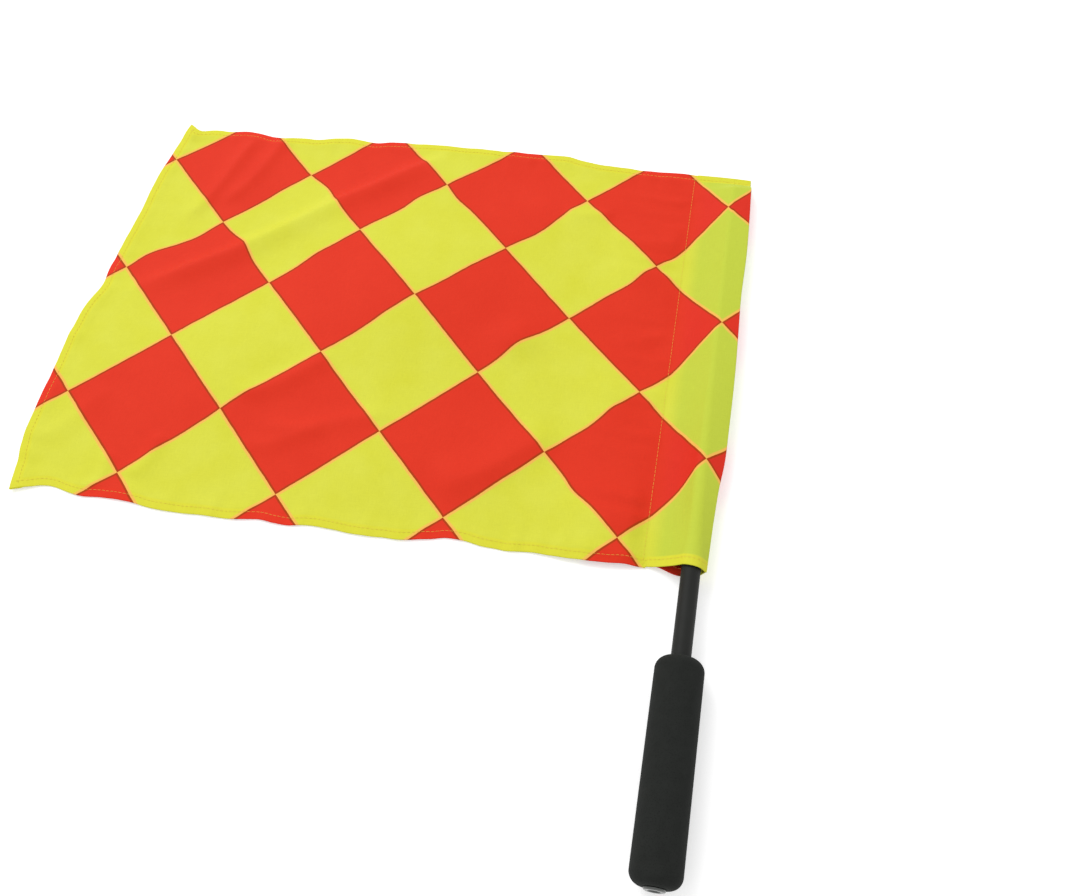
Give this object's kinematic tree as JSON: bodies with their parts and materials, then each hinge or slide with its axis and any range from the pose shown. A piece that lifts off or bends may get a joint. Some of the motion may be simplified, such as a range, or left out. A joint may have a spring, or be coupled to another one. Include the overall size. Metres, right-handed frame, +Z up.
{
  "type": "linesman flag",
  "caption": "Hand flag for sideline signals: a chequered cloth whose sewn sleeve turns on a plugged tube with a foam grip, lying flat.",
  "frame": {"origin": "middle of the flag's outline, on the surface that it lies on", "axes": "+Y along the pole from the grip to the tip, +X from the fly edge to the pole, +Z up from the surface"},
  "size_m": [0.4168, 0.4564, 0.0272],
  "materials": {
    "tube_plastic": "semi-gloss black tube",
    "plug_plastic": "glossy dark grey moulding",
    "grip_foam": "matte closed-cell foam",
    "flag_cloth": "thin plain-woven taffeta, fluorescent yellow with printed red-orange squares",
    "sewn_cloth": "turned and stitched edges of the same taffeta, with yellow thread"
  },
  "bodies": {
    "pole": {"shaft_tube": "tube_plastic", "foam_grip": "grip_foam", "butt_plug": "plug_plastic", "tip_plug": "plug_plastic"},
    "cloth": {"flag_panel": "flag_cloth", "pole_sleeve": "flag_cloth", "fly_hem": "sewn_cloth", "top_hem": "sewn_cloth", "bottom_hem": "sewn_cloth", "mouth_hem": "sewn_cloth", "seam_allowance": "sewn_cloth", "sleeve_closure": "sewn_cloth"}
  },
  "joints": [
    {"name": "sleeve_turn", "type": "hinge", "parent": "pole", "child": "cloth", "pos_m": [0.19566, -0.06483, 0.01163], "axis": [0, 0.9998, -0.0182], "continuous": true}
  ]
}
